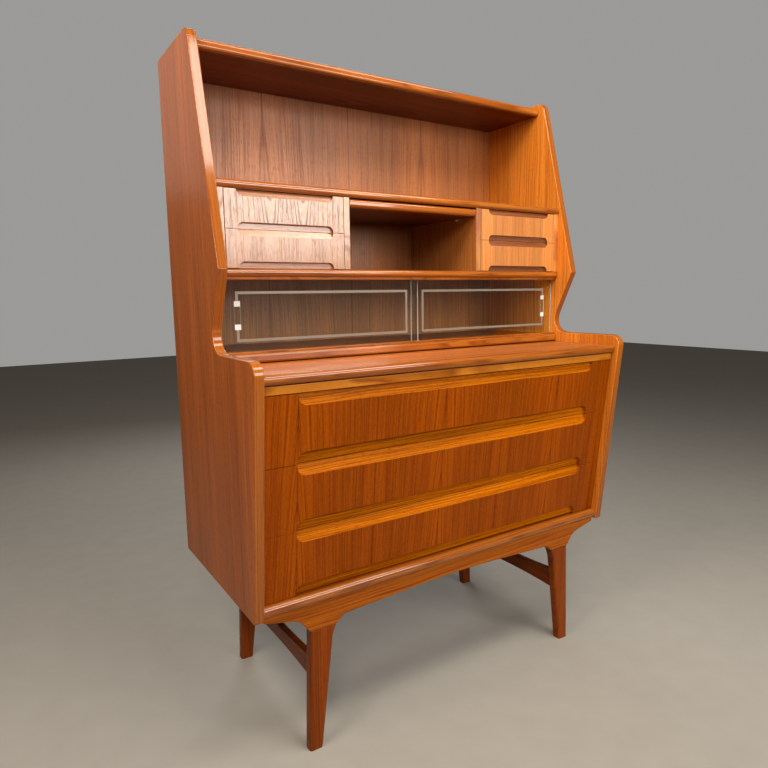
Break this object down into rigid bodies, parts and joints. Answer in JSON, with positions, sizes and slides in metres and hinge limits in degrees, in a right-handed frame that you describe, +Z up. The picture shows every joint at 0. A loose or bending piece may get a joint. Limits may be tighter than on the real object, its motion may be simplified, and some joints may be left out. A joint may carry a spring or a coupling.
{
  "type": "secretary desk",
  "caption": "Teak secretary desk with a pull-out writing top, wide drawers with carved finger recesses, a hutch with small drawers, cubby and sliding glass doors, on a tapered leg base.",
  "frame": {"origin": "centre of the bounding box in plan, on the floor under the legs", "axes": "+Z up; the drawers and the writing top face -Y; +X to the right of someone facing the front"},
  "size_m": [1, 0.498, 1.453],
  "materials": {
    "teak_veneer": "satin lacquered teak veneer with solid teak edges",
    "teak_solid": "satin lacquered solid teak",
    "drawer_wood": "bare beech",
    "plywood": "bare plywood",
    "door_glass": "clear polished glass with an etched line and a ground finger grip",
    "nylon": "plain"
  },
  "bodies": {
    "case": {"side_panel_left": "teak_veneer", "side_panel_right": "teak_veneer", "back_panel": "teak_veneer", "top_board": "teak_veneer", "middle_shelf": "teak_veneer", "lower_shelf": "teak_veneer", "glass_floor_board": "teak_veneer", "case_board": "teak_veneer", "bottom_board": "teak_solid", "lower_glass_track": "teak_solid", "upper_glass_track": "teak_solid", "bank_liner_left": "teak_veneer", "bank_liner_right": "teak_veneer", "bank_divider_left": "teak_veneer", "bank_divider_right": "teak_veneer", "cubby_pin_left": "nylon", "cubby_pin_right": "nylon", "upper_runner_left": "drawer_wood", "upper_runner_right": "drawer_wood", "middle_runner_left": "drawer_wood", "middle_runner_right": "drawer_wood", "front_apron": "teak_solid", "rear_apron": "teak_solid", "front_leg_left": "teak_solid", "front_leg_right": "teak_solid", "rear_leg_left": "teak_solid", "rear_leg_right": "teak_solid", "stretcher_left": "teak_solid", "stretcher_right": "teak_solid"},
    "writing_top": {"writing_top": "teak_veneer"},
    "cubby_slide": {"cubby_slide": "teak_veneer"},
    "glass_door_left": {"glass_pane_left": "door_glass"},
    "glass_door_right": {"glass_pane_right": "door_glass"},
    "bottom_drawer": {"bottom_drawer_front": "teak_veneer", "bottom_drawer_side_left": "drawer_wood", "bottom_drawer_side_right": "drawer_wood", "bottom_drawer_back": "drawer_wood", "bottom_drawer_bottom": "plywood"},
    "middle_drawer": {"middle_drawer_front": "teak_veneer", "middle_drawer_side_left": "drawer_wood", "middle_drawer_side_right": "drawer_wood", "middle_drawer_back": "drawer_wood", "middle_drawer_bottom": "plywood"},
    "top_drawer": {"top_drawer_front": "teak_veneer", "top_drawer_side_left": "drawer_wood", "top_drawer_side_right": "drawer_wood", "top_drawer_back": "drawer_wood", "top_drawer_bottom": "plywood"},
    "small_drawer_lower_left": {"small_drawer_lower_left_front": "teak_veneer", "small_drawer_lower_left_frame": "drawer_wood", "small_drawer_lower_left_bottom": "plywood"},
    "small_drawer_lower_right": {"small_drawer_lower_right_front": "teak_veneer", "small_drawer_lower_right_frame": "drawer_wood", "small_drawer_lower_right_bottom": "plywood"},
    "small_drawer_upper_left": {"small_drawer_upper_left_front": "teak_veneer", "small_drawer_upper_left_frame": "drawer_wood", "small_drawer_upper_left_bottom": "plywood"},
    "small_drawer_upper_right": {"small_drawer_upper_right_front": "teak_veneer", "small_drawer_upper_right_frame": "drawer_wood", "small_drawer_upper_right_bottom": "plywood"}
  },
  "joints": [
    {"name": "writing_top_slide", "type": "slide", "parent": "case", "child": "writing_top", "axis": [0, -1, 0], "range_m": [0, 0.2]},
    {"name": "cubby_slide_slide", "type": "slide", "parent": "case", "child": "cubby_slide", "axis": [0, -1, 0], "range_m": [0, 0.14]},
    {"name": "glass_door_left_slide", "type": "slide", "parent": "case", "child": "glass_door_left", "axis": [1, 0, 0], "range_m": [0, 0.472]},
    {"name": "glass_door_right_slide", "type": "slide", "parent": "case", "child": "glass_door_right", "axis": [1, 0, 0], "range_m": [-0.472, 0]},
    {"name": "bottom_drawer_slide", "type": "slide", "parent": "case", "child": "bottom_drawer", "axis": [0, -1, 0], "range_m": [0, 0.3]},
    {"name": "middle_drawer_slide", "type": "slide", "parent": "case", "child": "middle_drawer", "axis": [0, -1, 0], "range_m": [0, 0.3]},
    {"name": "top_drawer_slide", "type": "slide", "parent": "case", "child": "top_drawer", "axis": [0, -1, 0], "range_m": [0, 0.3]},
    {"name": "small_drawer_lower_left_slide", "type": "slide", "parent": "case", "child": "small_drawer_lower_left", "axis": [0, -1, 0], "range_m": [0, 0.18]},
    {"name": "small_drawer_lower_right_slide", "type": "slide", "parent": "case", "child": "small_drawer_lower_right", "axis": [0, -1, 0], "range_m": [0, 0.18]},
    {"name": "small_drawer_upper_left_slide", "type": "slide", "parent": "case", "child": "small_drawer_upper_left", "axis": [0, -1, 0], "range_m": [0, 0.18]},
    {"name": "small_drawer_upper_right_slide", "type": "slide", "parent": "case", "child": "small_drawer_upper_right", "axis": [0, -1, 0], "range_m": [0, 0.18]}
  ]
}
